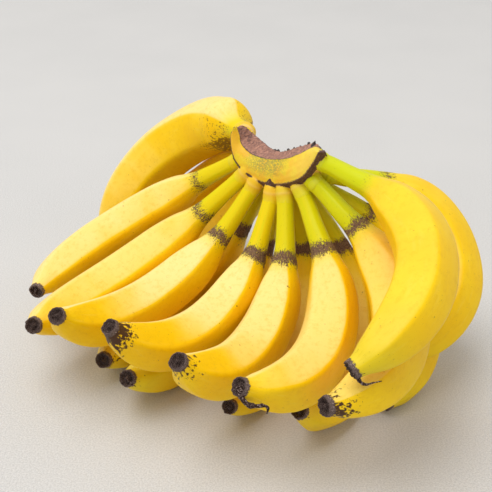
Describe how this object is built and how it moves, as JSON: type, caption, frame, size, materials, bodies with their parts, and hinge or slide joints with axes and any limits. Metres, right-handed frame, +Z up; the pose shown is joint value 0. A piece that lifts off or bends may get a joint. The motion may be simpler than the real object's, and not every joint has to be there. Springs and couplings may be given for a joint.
{
  "type": "hand of bananas",
  "caption": "Ripe bananas joined at one crescent crown in two curved rows, cut from the stem and lying on the backs of the lower fingers",
  "frame": {"origin": "centre of the bounding box, on the surface that the hand lies on", "axes": "+Z up; the fingers' tips point towards -Y and -X, and the crown's hollow cut faces up"},
  "size_m": [0.3178, 0.3348, 0.1598],
  "materials": {
    "crown": "matte, fibrous",
    "peel_inner": "satin",
    "peel_outer": "satin"
  },
  "bodies": {
    "root": {"crown": "crown", "finger_inner_1": "peel_inner", "finger_inner_2": "peel_inner", "finger_inner_3": "peel_inner", "finger_inner_4": "peel_inner", "finger_inner_5": "peel_inner", "finger_inner_6": "peel_inner", "finger_inner_7": "peel_inner", "finger_inner_8": "peel_inner", "finger_outer_1": "peel_outer", "finger_outer_2": "peel_outer", "finger_outer_3": "peel_outer", "finger_outer_4": "peel_outer", "finger_outer_5": "peel_outer", "finger_outer_6": "peel_outer", "finger_outer_7": "peel_outer", "finger_outer_8": "peel_outer", "finger_outer_9": "peel_outer"}
  },
  "joints": []
}
